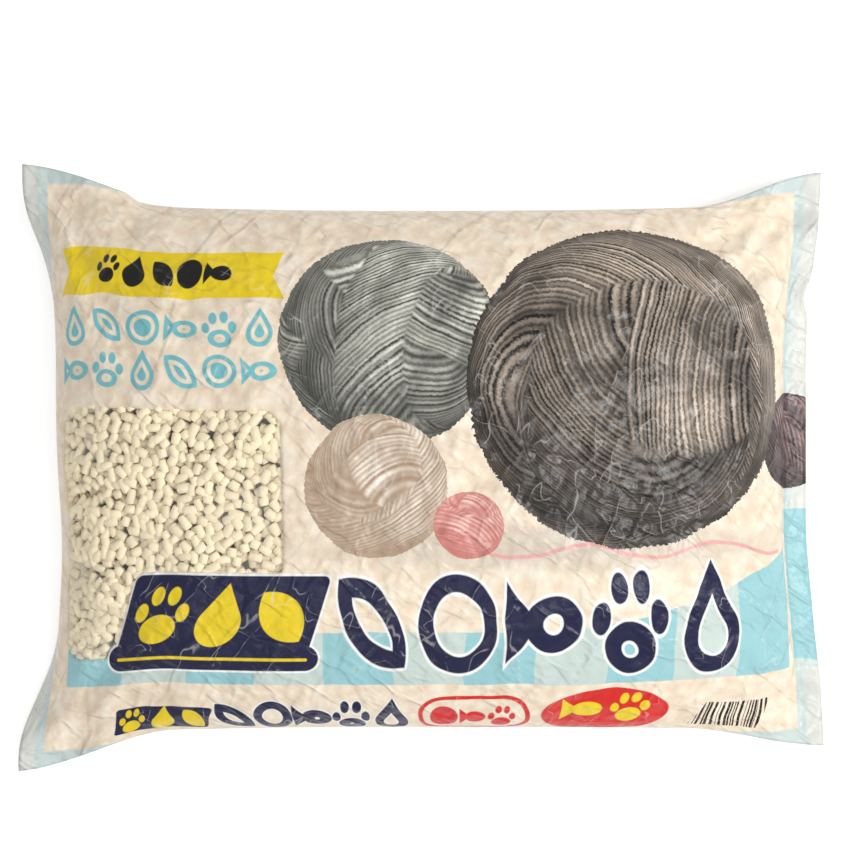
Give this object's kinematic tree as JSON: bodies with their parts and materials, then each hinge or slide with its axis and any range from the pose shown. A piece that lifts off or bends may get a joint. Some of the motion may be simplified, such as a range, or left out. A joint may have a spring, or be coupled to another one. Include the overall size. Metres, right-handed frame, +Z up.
{
  "type": "cat litter bag",
  "caption": "Filled pillow bag of printed plastic film, welded across both ends, with thin ears at its corners and a clear window on the pellets inside.",
  "frame": {"origin": "on the surface the bag lies on, under the middle of its outline", "axes": "+X along the bag, from the end by the window to the other; +Y across it, towards the upper edge of the print; +Z up, out of the printed front"},
  "size_m": [0.584, 0.44, 0.119],
  "materials": {
    "printed_film": "printed polyethylene film, soft gloss, slightly see-through where it is empty",
    "clear_film": "clear polyethylene film, glossy",
    "pulp_pellets": "pressed paper pulp, dull and rough"
  },
  "bodies": {
    "root": {"litter_bag": "printed_film"}
  },
  "joints": []
}
